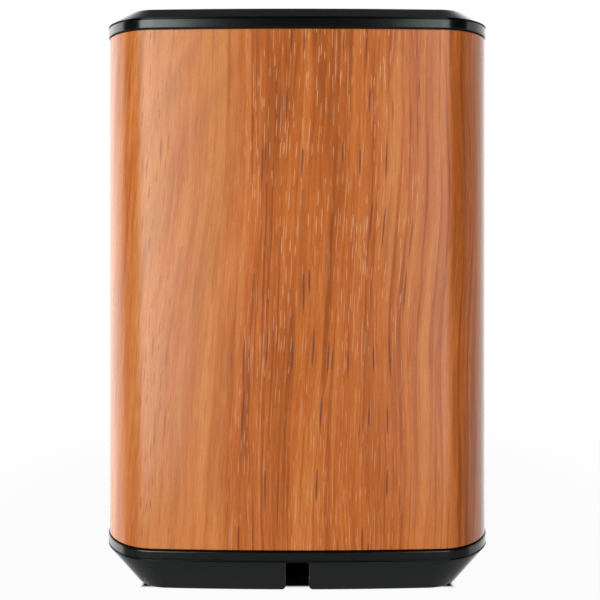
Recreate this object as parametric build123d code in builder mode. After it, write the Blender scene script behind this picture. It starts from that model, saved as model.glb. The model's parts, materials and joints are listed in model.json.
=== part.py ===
"""Desk air quality monitor: a wood-wrapped square column between a bevelled cap and base.

Millimetres, +Z up, origin on the table under the column's axis.
The display faces -Y, and the cable notch faces +Y.
"""

import os
from math import sqrt

from build123d import *

os.makedirs("parts", exist_ok=True)

# ---------------------------------------------------------------- driving dimensions

# Column plan: a square with slightly bowed sides, measured over the black bands
WIDTH = 95.0
BOW_RADIUS = 658.0
CORNER_RADIUS = 14.0

# Heights of the visible stack, from the table up
FOOT_PROUD = 0.8
BASE_BEVEL = 9.6
BASE_BAND = 2.6
WOOD_HEIGHT = 120.1
CAP_BAND = 2.5
CAP_BEVEL = 3.6

# How far the bevels draw in, and the corner radius that they end on
BASE_BEVEL_INSET = 6.7
BASE_FOOT_CORNER = 9.0
CAP_BEVEL_INSET = 5.5
CAP_TOP_CORNER = 7.2

# Shadow gaps: between wood and band, and between band and bevel
SEAM = 0.25
JOINT_LINE = 0.3
JOINT_DEPTH = 0.8
BASE_JOINT_DEPTH = 0.25

# Skins and walls
WOOD_INSET = 0.3
WOOD_THICK = 0.8
SHELL_WALL = 2.0
SPIGOT_GAP = 0.2
SPIGOT_WALL = 1.6
LID_THICK = 2.0
TRAY_FLOOR = 2.0
EDGE_ROUND = 0.35
BAND_ROUND = 0.28

# Levels and insets that follow from them
TRAY_BOTTOM = FOOT_PROUD
BASE_BEVEL_TOP = TRAY_BOTTOM + BASE_BEVEL
WOOD_BOTTOM = BASE_BEVEL_TOP + BASE_BAND
WOOD_TOP = WOOD_BOTTOM + WOOD_HEIGHT
CAP_BAND_TOP = WOOD_TOP + CAP_BAND
TOP = CAP_BAND_TOP + CAP_BEVEL
SHELL_BOTTOM = WOOD_BOTTOM - SEAM
SHELL_TOP = WOOD_TOP + SEAM
SHELL_INSET = WOOD_INSET + WOOD_THICK
CAVITY_INSET = SHELL_INSET + SHELL_WALL
SPIGOT_INSET = CAVITY_INSET + SPIGOT_GAP
SPIGOT_INNER = SPIGOT_INSET + SPIGOT_WALL
HALF = WIDTH / 2

# Cable notch in the back of the base, and the plug recess behind it
NOTCH_WIDTH = 5.7
RECESS_TOP = BASE_BEVEL_TOP - 0.6
NOTCH_TOP = BASE_BEVEL_TOP - 0.15
NOTCH_ROUND = 0.75
MOUTH_ROUND = 1.15
RECESS_HALF_WIDTH = 9.0
RECESS_FRONT = 14.0
RECESS_BACK = 38.5
RECESS_WALL = 1.5

# Front: the panel stands in the gap of the wood sleeve
WOOD_GAP_HALF = 33.5
PANEL_HALF = 33.3
PANEL_BLOCK_HALF = 29.8
PANEL_BLOCK_LOW = 19.2
PANEL_BLOCK_HIGH = 127.8
PANEL_BACK = -43.6
WINDOW_HALF = 27.5
WINDOW_LOW = 66.0
WINDOW_HIGH = 126.5
WINDOW_CORNER = 4.0
WINDOW_SEAT = -45.6
WINDOW_GAP = 0.12
VIEW_HALF = 23.5
VIEW_LOW = 72.0
VIEW_HIGH = 120.0
LIGHT_BAR = (24.0, 2.4)
LIGHT_BAR_Z = 59.0
SLOT = (40.0, 1.8)
SLOT_COUNT = 9
SLOT_PITCH = 3.6
GRILLE_Z = 37.4

# Boards: planes of their front faces, and their thickness
BOARD_THICK = 1.6
LCD_BACK = -41.2
PCB_FRONT = -39.4
PCB_BACK = PCB_FRONT + BOARD_THICK
PCB_HALF = 31.0
PCB_LOW = 55.0
PCB_HIGH = 127.0
PCB_POSTS = [(x, z) for x in (-28.0, 28.0) for z in (67.0, 124.0)]
PROBE_POSTS = [(26.0, z) for z in (25.0, 49.0)]
PROBE_FRONT = -41.2
PROBE_THICK = 1.2
POST_RADIUS = 1.6
PILOT_RADIUS = 0.8

# Chassis plate across the column, in guides on the side walls
CHASSIS_FRONT = -22.0
CHASSIS_THICK = 2.0
CHASSIS_HALF = 43.3
CHASSIS_LOW = 20.0
CHASSIS_HIGH = 126.0

# Base screws, their posts and feet
SCREW_X = 35.0
SCREW_Y = 16.0
POST_TOP = 17.1
BOSS_TOP = 24.0
BOSS_RADIUS = 3.6
INSERT_RADIUS = 2.2
INSERT_LENGTH = 5.0
THREAD_RADIUS = 1.45
HEAD_RADIUS = 2.8
HEAD_SEAT = 4.2
FOOT_AT = 30.5
FOOT_RADIUS = 5.0
FOOT_THICK = 1.6

# Top button
BUTTON_RADIUS = 8.0
BUTTON_GAP = 0.3
BUTTON_PROUD = 0.3
BUTTON_TRAVEL = 0.7
DISH_RADIUS = 60.0
DISH_DEPTH = 0.45
FLANGE_RADIUS = 9.3
FLANGE_THICK = 1.0
BUTTON_BOARD_TOP = 132.4
SPRING_RADIUS = 5.0
SPRING_WIRE = 0.25
SWITCH_TOP = 133.4

# Particle sensor: low corner, size and fan axis
PM_LOW = (-39.2, -36.0, 26.0)
PM_SIZE = (38.0, 12.8, 35.0)
PM_WALL = 1.0
PM_LID = 1.2
FAN_AT = (-28.0, 48.0)
FAN_RADIUS = 9.5
FAN_FRONT = -32.6
FAN_BACK = -26.6
FAN_BLADES = 9
BLADE_ROOT = 4.5
BLADE_THICK = 0.8
FAN_PIN = 0.8
FAN_FIT = 0.05
INLET_AT = (-9.0, 36.0)
INLET_RADIUS = 4.0

# Battery: two cylindrical cells in a holder on the back of the chassis
CELL_RADIUS = 9.2
CELL_LENGTH = 65.0
CELL_X = 10.0
HOLDER_LOW = 34.0
HOLDER_HALF = 21.0
HOLDER_WALL = 1.6
HOLDER_END = 2.0

# Power inlet
USB_SIZE = (8.94, 7.3, 3.26)
USB_WALL = 0.35
USB_BOARD_TOP = 4.2
USB_BOARD_THICK = 1.2

LEAD_RADIUS = 0.9


# ---------------------------------------------------------------- shared shapes


def column_plan(inset=0.0, corner=None):
    """The column's plan drawn in by inset: four wide arcs that meet at rounded corners."""
    radius = BOW_RADIUS - inset
    reach = BOW_RADIUS - HALF
    tip = (sqrt(2 * radius**2 - reach**2) - reach) / 2
    side = (Vector(tip, -tip), Vector(HALF - inset, 0), Vector(tip, tip))
    with BuildSketch(mode=Mode.PRIVATE) as plan:
        with BuildLine():
            for turn in range(4):
                ThreePointArc(*[point.rotate(Axis.Z, 90 * turn) for point in side])
        make_face()
        fillet(plan.vertices(), radius=corner or CORNER_RADIUS - inset)
    return plan.sketch


def box_between(low, high, mode=Mode.ADD):
    """A box from its low corner to its high corner."""
    size = [b - a for a, b in zip(low, high)]
    with Locations(tuple(low)):
        Box(*size, align=(Align.MIN, Align.MIN, Align.MIN), mode=mode)


def rod_y(x, z, radius, front, back, mode=Mode.ADD):
    """A round rod along Y, from y = front to y = back."""
    with Locations(Location((x, front, z), (-90, 0, 0))):
        Cylinder(radius, back - front, align=(Align.CENTER, Align.CENTER, Align.MIN), mode=mode)


def rod_z(x, y, radius, low, high, mode=Mode.ADD):
    """A round rod along Z, from z = low to z = high."""
    with Locations((x, y, low)):
        Cylinder(radius, high - low, align=(Align.CENTER, Align.CENTER, Align.MIN), mode=mode)


def save(part, name):
    """Labels a finished piece and writes it as its own file."""
    part.label = name
    export_step(part, f"parts/{name}.step")


screw_spots = [(x, y) for x in (-SCREW_X, SCREW_X) for y in (-SCREW_Y, SCREW_Y)]
foot_spots = [(x, y) for x in (-FOOT_AT, FOOT_AT) for y in (-FOOT_AT, FOOT_AT)]


# ---------------------------------------------------------------- wood sleeve and shell

with BuildPart() as wood_wrap:
    with BuildSketch(Plane.XY.offset(WOOD_BOTTOM)):
        add(column_plan(WOOD_INSET))
        add(column_plan(SHELL_INSET), mode=Mode.SUBTRACT)
        with Locations((0, -HALF)):
            Rectangle(2 * WOOD_GAP_HALF, CORNER_RADIUS, mode=Mode.SUBTRACT)
    extrude(amount=WOOD_HEIGHT)
save(wood_wrap.part, "wood_wrap")

# The lid's lugs snap into windows in the shell, one on each side
LUG_HALF = 4.0
LUG_LOW = 129.8
LUG_HIGH = 131.6
LUG_GAP = 0.2
GUIDE_INNER = 39.5
GUIDE_THICK = 2.0
GUIDE_GAP = 0.2

with BuildPart() as body_shell:
    with BuildSketch(Plane.XY.offset(SHELL_BOTTOM)):
        add(column_plan(SHELL_INSET))
        add(column_plan(CAVITY_INSET), mode=Mode.SUBTRACT)
    extrude(amount=SHELL_TOP - SHELL_BOTTOM)
    # front opening, behind the panel
    box_between(
        (-PANEL_BLOCK_HALF - 0.2, -HALF, PANEL_BLOCK_LOW - 0.2),
        (PANEL_BLOCK_HALF + 0.2, -HALF + 8, PANEL_BLOCK_HIGH + 0.2),
        mode=Mode.SUBTRACT,
    )
    # chassis guides: two ribs and a stop under them on each side wall
    for side in (-1, 1):
        inner, outer = sorted((side * GUIDE_INNER, side * (HALF - CAVITY_INSET + 0.6)))
        front = CHASSIS_FRONT - GUIDE_GAP
        back = CHASSIS_FRONT + CHASSIS_THICK + GUIDE_GAP
        box_between((inner, front - GUIDE_THICK, CHASSIS_LOW - 2), (outer, front, CHASSIS_HIGH))
        box_between((inner, back, CHASSIS_LOW - 2), (outer, back + GUIDE_THICK, CHASSIS_HIGH))
        box_between((inner, front, CHASSIS_LOW - 2), (outer, back, CHASSIS_LOW))
    # screw bosses, each tied to the side wall by a rib
    for x, y in screw_spots:
        rod_z(x, y, BOSS_RADIUS, POST_TOP, BOSS_TOP)
        inner, outer = sorted((x, (HALF - CAVITY_INSET + 0.6) * (1 if x > 0 else -1)))
        box_between((inner, y - 1.2, POST_TOP), (outer, y + 1.2, BOSS_TOP))
        rod_z(x, y, INSERT_RADIUS, POST_TOP, POST_TOP + INSERT_LENGTH, mode=Mode.SUBTRACT)
    # snap windows
    for turn in range(4):
        with Locations(Location((0, 0, 0), (0, 0, 90 * turn))):
            with Locations((HALF - 2, 0, (LUG_LOW + LUG_HIGH) / 2)):
                size = (7, 2 * (LUG_HALF + LUG_GAP), LUG_HIGH - LUG_LOW + 2 * LUG_GAP)
                Box(*size, mode=Mode.SUBTRACT)
save(body_shell.part, "body_shell")


# ---------------------------------------------------------------- cap

with BuildPart() as top_ring:
    with BuildSketch(Plane.XY.offset(SHELL_TOP)):
        add(column_plan())
        add(column_plan(CAVITY_INSET), mode=Mode.SUBTRACT)
    extrude(amount=CAP_BAND_TOP - SHELL_TOP)
    outer_edges = top_ring.faces().sort_by(Axis.Z)[-1].outer_wire().edges()
    fillet(outer_edges, radius=BAND_ROUND)
    outer_edges = top_ring.faces().sort_by(Axis.Z)[0].outer_wire().edges()
    fillet(outer_edges, radius=BAND_ROUND)
save(top_ring.part, "top_ring")

LID_SKIRT_LOW = SHELL_TOP - 5.0
LID_UNDER = TOP - LID_THICK
button_bosses = [(x, y) for x in (-12.0, 12.0) for y in (-7.5, 7.5)]

with BuildPart() as top_lid:
    with BuildSketch(Plane.XY.offset(CAP_BAND_TOP + JOINT_LINE)):
        add(column_plan())
    with BuildSketch(Plane.XY.offset(TOP)):
        add(column_plan(CAP_BEVEL_INSET, CAP_TOP_CORNER))
    loft(ruled=True)
    fillet(top_lid.faces().sort_by(Axis.Z)[-1].outer_wire().edges(), radius=EDGE_ROUND)
    # step that makes the dark line over the band
    with BuildSketch(Plane.XY.offset(CAP_BAND_TOP)):
        add(column_plan(JOINT_DEPTH))
    extrude(amount=JOINT_LINE)
    # skirt inside the shell
    with BuildSketch(Plane.XY.offset(LID_SKIRT_LOW)):
        add(column_plan(SPIGOT_INSET))
    extrude(amount=CAP_BAND_TOP - LID_SKIRT_LOW)
    with BuildSketch(Plane.XY.offset(LID_SKIRT_LOW)):
        add(column_plan(CAP_BEVEL_INSET + LID_THICK))
    extrude(amount=LID_UNDER - LID_SKIRT_LOW, mode=Mode.SUBTRACT)
    # snap lugs
    for turn in range(4):
        with Locations(Location((0, 0, 0), (0, 0, 90 * turn))):
            with Locations((HALF - SHELL_INSET - 0.3, 0, LUG_LOW)):
                size = (3.0, 2 * LUG_HALF, LUG_HIGH - LUG_LOW)
                Box(*size, align=(Align.MAX, Align.CENTER, Align.MIN))
    # button hole and the posts of the button board
    rod_z(0, 0, BUTTON_RADIUS + BUTTON_GAP, LID_UNDER - 1, TOP + 1, mode=Mode.SUBTRACT)
    for x, y in button_bosses:
        rod_z(x, y, POST_RADIUS, BUTTON_BOARD_TOP, LID_UNDER + 0.2)
        rod_z(x, y, PILOT_RADIUS, BUTTON_BOARD_TOP, BUTTON_BOARD_TOP + 3, mode=Mode.SUBTRACT)
save(top_lid.part, "top_lid")

with BuildPart() as top_button:
    flange_top = LID_UNDER - 0.1
    rod_z(0, 0, BUTTON_RADIUS, flange_top - FLANGE_THICK, TOP + BUTTON_PROUD)
    fillet(top_button.faces().sort_by(Axis.Z)[-1].edges(), radius=0.5)
    rod_z(0, 0, FLANGE_RADIUS, flange_top - FLANGE_THICK, flange_top)
    # shallow finger dish
    with Locations((0, 0, TOP + BUTTON_PROUD + DISH_RADIUS - DISH_DEPTH)):
        Sphere(DISH_RADIUS, mode=Mode.SUBTRACT)
    # stem over the switch
    rod_z(0, 0, 1.6, SWITCH_TOP + BUTTON_TRAVEL + 0.2, flange_top - FLANGE_THICK)
save(top_button.part, "top_button")

SPRING_TURNS = 2.5
spring_height = flange_top - FLANGE_THICK - BUTTON_BOARD_TOP - 2 * SPRING_WIRE
spring_path = Helix(
    pitch=spring_height / SPRING_TURNS,
    height=spring_height,
    radius=SPRING_RADIUS,
    center=(0, 0, BUTTON_BOARD_TOP + SPRING_WIRE),
)
with BuildPart() as button_spring:
    with BuildSketch(Plane(origin=spring_path @ 0, z_dir=spring_path % 0)):
        Circle(SPRING_WIRE)
    sweep(path=spring_path, is_frenet=True)
save(button_spring.part, "button_spring")

with BuildPart() as button_board:
    box_between((-15, -10, BUTTON_BOARD_TOP - BOARD_THICK), (15, 10, BUTTON_BOARD_TOP))
    fillet(button_board.edges().filter_by(Axis.Z), radius=2)
    for x, y in button_bosses:
        rod_z(x, y, 1.1, 0, TOP, mode=Mode.SUBTRACT)
save(button_board.part, "button_board")

with BuildPart() as tact_switch:
    box_between((-3, -3, BUTTON_BOARD_TOP), (3, 3, SWITCH_TOP - 0.4))
    rod_z(0, 0, 1.75, SWITCH_TOP - 0.4, SWITCH_TOP)
save(tact_switch.part, "tact_switch")


# ---------------------------------------------------------------- base

with BuildPart() as base_ring:
    with BuildSketch(Plane.XY.offset(BASE_BEVEL_TOP + JOINT_LINE)):
        add(column_plan())
        add(column_plan(CAVITY_INSET), mode=Mode.SUBTRACT)
    extrude(amount=SHELL_BOTTOM - BASE_BEVEL_TOP - JOINT_LINE)
    outer_edges = base_ring.faces().sort_by(Axis.Z)[-1].outer_wire().edges()
    fillet(outer_edges, radius=BAND_ROUND)
    outer_edges = base_ring.faces().sort_by(Axis.Z)[0].outer_wire().edges()
    fillet(outer_edges, radius=BAND_ROUND)
save(base_ring.part, "base_ring")

with BuildPart() as base_tray:
    with BuildSketch(Plane.XY.offset(TRAY_BOTTOM)):
        add(column_plan(BASE_BEVEL_INSET, BASE_FOOT_CORNER))
    with BuildSketch(Plane.XY.offset(BASE_BEVEL_TOP)):
        add(column_plan())
    loft(ruled=True)
    fillet(base_tray.faces().sort_by(Axis.Z)[0].outer_wire().edges(), radius=EDGE_ROUND)
    # step that makes the dark line under the band, and the spigot inside the shell
    with BuildSketch(Plane.XY.offset(BASE_BEVEL_TOP)):
        add(column_plan(BASE_JOINT_DEPTH))
    extrude(amount=JOINT_LINE)
    with BuildSketch(Plane.XY.offset(BASE_BEVEL_TOP)):
        add(column_plan(SPIGOT_INSET))
    extrude(amount=POST_TOP - BASE_BEVEL_TOP)
    # hollow inside: drawn in with the bevel, then straight up through the spigot
    with BuildSketch(Plane.XY.offset(TRAY_BOTTOM + TRAY_FLOOR)):
        add(column_plan(BASE_BEVEL_INSET + 1.6, BASE_FOOT_CORNER - 2))
    with BuildSketch(Plane.XY.offset(BASE_BEVEL_TOP)):
        add(column_plan(SPIGOT_INNER))
    loft(ruled=True, mode=Mode.SUBTRACT)
    with BuildSketch(Plane.XY.offset(BASE_BEVEL_TOP)):
        add(column_plan(SPIGOT_INNER))
    extrude(amount=POST_TOP - BASE_BEVEL_TOP, mode=Mode.SUBTRACT)
    # plug recess: walls and ceiling first, then its open space and the notch through the back
    recess_side = RECESS_HALF_WIDTH + RECESS_WALL
    box_between(
        (-recess_side, RECESS_FRONT - RECESS_WALL, TRAY_BOTTOM + TRAY_FLOOR),
        (recess_side, RECESS_BACK, RECESS_TOP + RECESS_WALL),
    )
    box_between(
        (-RECESS_HALF_WIDTH, RECESS_FRONT, TRAY_BOTTOM),
        (RECESS_HALF_WIDTH, RECESS_BACK, RECESS_TOP),
        mode=Mode.SUBTRACT,
    )
    with BuildSketch(Plane.XZ.offset(-RECESS_BACK + 1)) as notch:
        Rectangle(NOTCH_WIDTH, NOTCH_TOP, align=(Align.CENTER, Align.MIN))
        fillet(notch.vertices().group_by(Axis.Y)[-1], radius=NOTCH_ROUND)
        Rectangle(NOTCH_WIDTH + 4 * NOTCH_ROUND, TRAY_BOTTOM, align=(Align.CENTER, Align.MIN))
        inner_corners = [v for v in notch.vertices() if abs(v.X) < NOTCH_WIDTH / 2 + NOTCH_ROUND]
        fillet([v for v in inner_corners if 0 < v.Y < NOTCH_TOP / 2], radius=MOUTH_ROUND)
    extrude(amount=-CORNER_RADIUS, mode=Mode.SUBTRACT)
    # opening for the socket, and two ribs under its board
    box_between(
        (-USB_SIZE[0] / 2 - 0.15, RECESS_FRONT - 2 * RECESS_WALL, USB_BOARD_TOP - 0.2),
        (USB_SIZE[0] / 2 + 0.15, RECESS_FRONT + 0.1, USB_BOARD_TOP + USB_SIZE[2] + 0.2),
        mode=Mode.SUBTRACT,
    )
    for y in (-3.0, 9.0):
        box_between((-8, y, TRAY_BOTTOM + TRAY_FLOOR), (8, y + 2, USB_BOARD_TOP - USB_BOARD_THICK))
    # screw posts with counterbores from below, and shallow seats for the feet
    for x, y in screw_spots:
        rod_z(x, y, BOSS_RADIUS + 0.4, TRAY_BOTTOM + 1, POST_TOP)
        rod_z(x, y, THREAD_RADIUS + 0.25, 0, TOP, mode=Mode.SUBTRACT)
        rod_z(x, y, HEAD_RADIUS + 0.25, 0, HEAD_SEAT, mode=Mode.SUBTRACT)
    for x, y in foot_spots:
        rod_z(x, y, FOOT_RADIUS + 0.1, 0, FOOT_THICK, mode=Mode.SUBTRACT)
save(base_tray.part, "base_tray")

with BuildPart() as rubber_feet:
    for x, y in foot_spots:
        rod_z(x, y, FOOT_RADIUS, 0, FOOT_THICK)
    fillet(rubber_feet.faces().group_by(Axis.Z)[0].edges(), radius=0.4)
save(rubber_feet.part, "rubber_feet")

with BuildPart() as base_screws:
    for x, y in screw_spots:
        rod_z(x, y, HEAD_RADIUS, HEAD_SEAT - 1.8, HEAD_SEAT)
        rod_z(x, y, THREAD_RADIUS, HEAD_SEAT, POST_TOP + INSERT_LENGTH - 0.5)
        # cross recess in the head
        for turn in (0, 90):
            with Locations(Location((x, y, HEAD_SEAT - 1.8), (0, 0, turn))):
                Box(3.4, 0.7, 2.0, mode=Mode.SUBTRACT)
save(base_screws.part, "base_screws")

with BuildPart() as boss_inserts:
    for x, y in screw_spots:
        rod_z(x, y, INSERT_RADIUS, POST_TOP, POST_TOP + INSERT_LENGTH)
        rod_z(x, y, THREAD_RADIUS + 0.05, 0, TOP, mode=Mode.SUBTRACT)
save(boss_inserts.part, "boss_inserts")

with BuildPart() as usb_board:
    box_between((-9, -4, USB_BOARD_TOP - USB_BOARD_THICK), (9, RECESS_FRONT - 1.7, USB_BOARD_TOP))
    box_between((-7, -2, USB_BOARD_TOP), (-3, 2, USB_BOARD_TOP + 1))
    box_between((4, 0, USB_BOARD_TOP), (8, 4, USB_BOARD_TOP + 1.8))
save(usb_board.part, "usb_board")

with BuildPart() as usb_socket:
    socket_mid = USB_BOARD_TOP + USB_SIZE[2] / 2
    with BuildSketch(Plane.XZ.offset(-RECESS_FRONT)):
        with Locations((0, socket_mid)):
            RectangleRounded(USB_SIZE[0], USB_SIZE[2], 1.2)
    extrude(amount=USB_SIZE[1])
    with BuildSketch(Plane.XZ.offset(-RECESS_FRONT)):
        with Locations((0, socket_mid)):
            RectangleRounded(USB_SIZE[0] - 2 * USB_WALL, USB_SIZE[2] - 2 * USB_WALL, 0.9)
    extrude(amount=USB_SIZE[1] - 1.2, mode=Mode.SUBTRACT)
    box_between(
        (-3.3, RECESS_FRONT - USB_SIZE[1] + 1, socket_mid - 0.35),
        (3.3, RECESS_FRONT - 0.8, socket_mid + 0.35),
    )
save(usb_socket.part, "usb_socket")


# ---------------------------------------------------------------- front

with BuildPart() as front_panel:
    # outer skin, flush with the wood
    with BuildSketch(Plane.XY.offset(WOOD_BOTTOM + 0.2)):
        add(column_plan(WOOD_INSET))
        add(column_plan(SHELL_INSET), mode=Mode.SUBTRACT)
        with Locations((0, -HALF)):
            Rectangle(2 * PANEL_HALF, CORNER_RADIUS, mode=Mode.INTERSECT)
    extrude(amount=WOOD_HEIGHT - 0.4)
    # inner block in the shell's opening, flat at the back
    with BuildSketch(Plane.XY.offset(PANEL_BLOCK_LOW)):
        add(column_plan(WOOD_INSET))
        with Locations((0, PANEL_BACK)):
            Rectangle(2 * PANEL_BLOCK_HALF, 5, align=(Align.CENTER, Align.MAX), mode=Mode.INTERSECT)
    extrude(amount=PANEL_BLOCK_HIGH - PANEL_BLOCK_LOW)
    # seat of the window, and the opening for the view
    window_mid = (WINDOW_LOW + WINDOW_HIGH) / 2
    window_size = (2 * WINDOW_HALF, WINDOW_HIGH - WINDOW_LOW)
    with BuildSketch(Plane.XZ.offset(-WINDOW_SEAT)):
        with Locations((0, window_mid)):
            RectangleRounded(
                window_size[0] + 2 * WINDOW_GAP, window_size[1] + 2 * WINDOW_GAP, WINDOW_CORNER
            )
    extrude(amount=5, mode=Mode.SUBTRACT)
    box_between((-VIEW_HALF, -HALF, VIEW_LOW), (VIEW_HALF, -HALF + 8, VIEW_HIGH), mode=Mode.SUBTRACT)
    # light bar and grille slots
    with BuildSketch(Plane.XZ.offset(HALF)):
        with Locations((0, LIGHT_BAR_Z)):
            SlotOverall(LIGHT_BAR[0] + 0.1, LIGHT_BAR[1] + 0.1)
        with Locations((0, GRILLE_Z)):
            with GridLocations(0, SLOT_PITCH, 1, SLOT_COUNT):
                SlotOverall(*SLOT)
    extrude(amount=-8, mode=Mode.SUBTRACT)
    # posts behind for the main board and the probe board
    for x, z in PCB_POSTS:
        rod_y(x, z, POST_RADIUS, PANEL_BACK - 0.5, PCB_FRONT)
        rod_y(x, z, PILOT_RADIUS, PCB_FRONT - 3.4, PCB_FRONT, mode=Mode.SUBTRACT)
    for x, z in PROBE_POSTS:
        rod_y(x, z, POST_RADIUS, PANEL_BACK - 0.5, PROBE_FRONT)
        rod_y(x, z, PILOT_RADIUS, PROBE_FRONT - 2, PROBE_FRONT, mode=Mode.SUBTRACT)
save(front_panel.part, "front_panel")

with BuildPart() as display_window:
    with BuildSketch(Plane.XY.offset(WINDOW_LOW)):
        add(column_plan(WOOD_INSET))
        with Locations((0, WINDOW_SEAT)):
            Rectangle(2 * WINDOW_HALF, 5, align=(Align.CENTER, Align.MAX), mode=Mode.INTERSECT)
    extrude(amount=WINDOW_HIGH - WINDOW_LOW)
    with BuildSketch(Plane.XZ.offset(HALF)):
        with Locations((0, window_mid)):
            RectangleRounded(*window_size, WINDOW_CORNER - WINDOW_GAP)
    extrude(amount=-8, mode=Mode.INTERSECT)
save(display_window.part, "display_window")

with BuildPart() as light_pipe:
    with BuildSketch(Plane.XZ.offset(-PCB_FRONT + 1.0)):
        with Locations((0, LIGHT_BAR_Z)):
            SlotOverall(*LIGHT_BAR)
    extrude(amount=HALF + PCB_FRONT - 1.0)
    with BuildSketch(Plane.XY.offset(WOOD_BOTTOM)):
        add(column_plan(WOOD_INSET))
    extrude(amount=WOOD_HEIGHT, mode=Mode.INTERSECT)
save(light_pipe.part, "light_pipe")

with BuildPart() as dust_mesh:
    box_between((-22, PANEL_BACK, 20.4), (22, PANEL_BACK + 0.4, 54.4))
save(dust_mesh.part, "dust_mesh")


# ---------------------------------------------------------------- boards

with BuildPart() as display_module:
    box_between((-26, PANEL_BACK, 70), (26, LCD_BACK, 122))
    # the glass stands up into the panel's opening
    box_between(
        (-VIEW_HALF + 0.3, PANEL_BACK - 0.6, VIEW_LOW + 0.3),
        (VIEW_HALF - 0.3, PANEL_BACK, VIEW_HIGH - 0.3),
    )
save(display_module.part, "display_module")

with BuildPart() as display_ribbon:
    ribbon_front, ribbon_back = -42.3, -40.7
    with BuildSketch(Plane.YZ.offset(-10)):
        with BuildLine() as fold:
            Polyline((ribbon_front, 69.9), (ribbon_front, 64.8))
            bend = (ribbon_front + ribbon_back) / 2
            ThreePointArc((ribbon_front, 64.8), (bend, 64.0), (ribbon_back, 64.8))
            Polyline((ribbon_back, 64.8), (ribbon_back, 65.8))
            offset(amount=0.1, side=Side.BOTH)
        make_face()
    extrude(amount=20)
save(display_ribbon.part, "display_ribbon")

with BuildPart() as main_pcb:
    box_between((-PCB_HALF, PCB_FRONT, PCB_LOW), (PCB_HALF, PCB_BACK, PCB_HIGH))
    fillet(main_pcb.edges().filter_by(Axis.Y), radius=1.5)
    for x, z in PCB_POSTS:
        rod_y(x, z, 1.1, PCB_FRONT - 1, PCB_BACK + 1, mode=Mode.SUBTRACT)
save(main_pcb.part, "main_pcb")

# Chips on the back of the main board: centre, width, height and thickness
CHIPS = [
    ((10, 96), (10, 10), 1.2),
    ((16, 80), (5, 6), 1.0),
    ((-20, 88), (6, 6), 1.0),
    ((-22, 72), (5, 5), 2.5),
    ((4, 74), (7, 7), 3.0),
    ((20, 66), (4, 6), 1.0),
]
with BuildPart() as pcb_chips:
    for (x, z), (wide, high), thick in CHIPS:
        with Locations((x, PCB_BACK, z)):
            Box(wide, thick, high, align=(Align.CENTER, Align.MIN, Align.CENTER))
save(pcb_chips.part, "pcb_chips")

CONNECTORS = [(10, 113), (-8, 78), (1, 64)]
CONNECTOR_DEPTH = 3.6
with BuildPart() as pcb_connectors:
    for x, z in CONNECTORS:
        box_between((x - 3.5, PCB_BACK, z - 2.2), (x + 3.5, PCB_BACK + CONNECTOR_DEPTH, z + 2.2))
    box_between((-10.5, PCB_FRONT - 1.6, 66), (10.5, PCB_FRONT, 68.6))
save(pcb_connectors.part, "pcb_connectors")

with BuildPart() as wireless_module:
    box_between((-25, PCB_BACK, 98), (-7, PCB_BACK + 0.8, 123.5))
save(wireless_module.part, "wireless_module")

with BuildPart() as shield_can:
    box_between((-24, PCB_BACK + 0.8, 99), (-8, PCB_BACK + 3.2, 116))
    fillet(shield_can.edges().filter_by(Axis.Y), radius=1)
    box_between((-23.8, PCB_BACK + 0.8, 99.2), (-8.2, PCB_BACK + 3.0, 115.8), mode=Mode.SUBTRACT)
save(shield_can.part, "shield_can")

with BuildPart() as buzzer:
    rod_y(22, 112, 4.5, PCB_BACK, PCB_BACK + 4)
    rod_y(22, 112, 0.8, PCB_BACK + 2, PCB_BACK + 4, mode=Mode.SUBTRACT)
save(buzzer.part, "buzzer")

with BuildPart() as indicator_leds:
    for x in (-8, 0, 8):
        box_between((x - 1.2, PCB_FRONT - 0.7, LIGHT_BAR_Z - 0.8), (x + 1.2, PCB_FRONT, LIGHT_BAR_Z + 0.8))
save(indicator_leds.part, "indicator_leds")

with BuildPart() as probe_board:
    box_between((10, PROBE_FRONT, 22), (28.5, PROBE_FRONT + PROBE_THICK, 52))
    fillet(probe_board.edges().filter_by(Axis.Y), radius=1)
    for x, z in PROBE_POSTS:
        rod_y(x, z, 1.1, PROBE_FRONT - 1, PROBE_FRONT + 3, mode=Mode.SUBTRACT)
save(probe_board.part, "probe_board")

with BuildPart() as voc_sensor:
    box_between((12.5, PROBE_FRONT - 1, 42.5), (15.5, PROBE_FRONT, 45.5))
    rod_y(14, 44, 0.5, PROBE_FRONT - 1.1, PROBE_FRONT - 0.5, mode=Mode.SUBTRACT)
save(voc_sensor.part, "voc_sensor")

with BuildPart() as humidity_sensor:
    box_between((12.75, PROBE_FRONT - 0.9, 28.75), (15.25, PROBE_FRONT, 31.25))
    rod_y(14, 30, 0.6, PROBE_FRONT - 1, PROBE_FRONT - 0.5, mode=Mode.SUBTRACT)
save(humidity_sensor.part, "humidity_sensor")

with BuildPart() as board_screws:
    for x, z in PCB_POSTS:
        rod_y(x, z, 1.9, PCB_BACK, PCB_BACK + 1.3)
        rod_y(x, z, PILOT_RADIUS - 0.02, PCB_BACK - 4.4, PCB_BACK)
    for x, z in PROBE_POSTS:
        rod_y(x, z, 1.9, PROBE_FRONT + PROBE_THICK, PROBE_FRONT + PROBE_THICK + 1.3)
        rod_y(x, z, PILOT_RADIUS - 0.02, PROBE_FRONT - 1.8, PROBE_FRONT + PROBE_THICK)
    for x, y in button_bosses:
        rod_z(x, y, 1.9, BUTTON_BOARD_TOP - BOARD_THICK - 1.3, BUTTON_BOARD_TOP - BOARD_THICK)
        rod_z(x, y, PILOT_RADIUS - 0.02, BUTTON_BOARD_TOP - BOARD_THICK, BUTTON_BOARD_TOP + 2.8)
save(board_screws.part, "board_screws")


# ---------------------------------------------------------------- chassis and sensors

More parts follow.
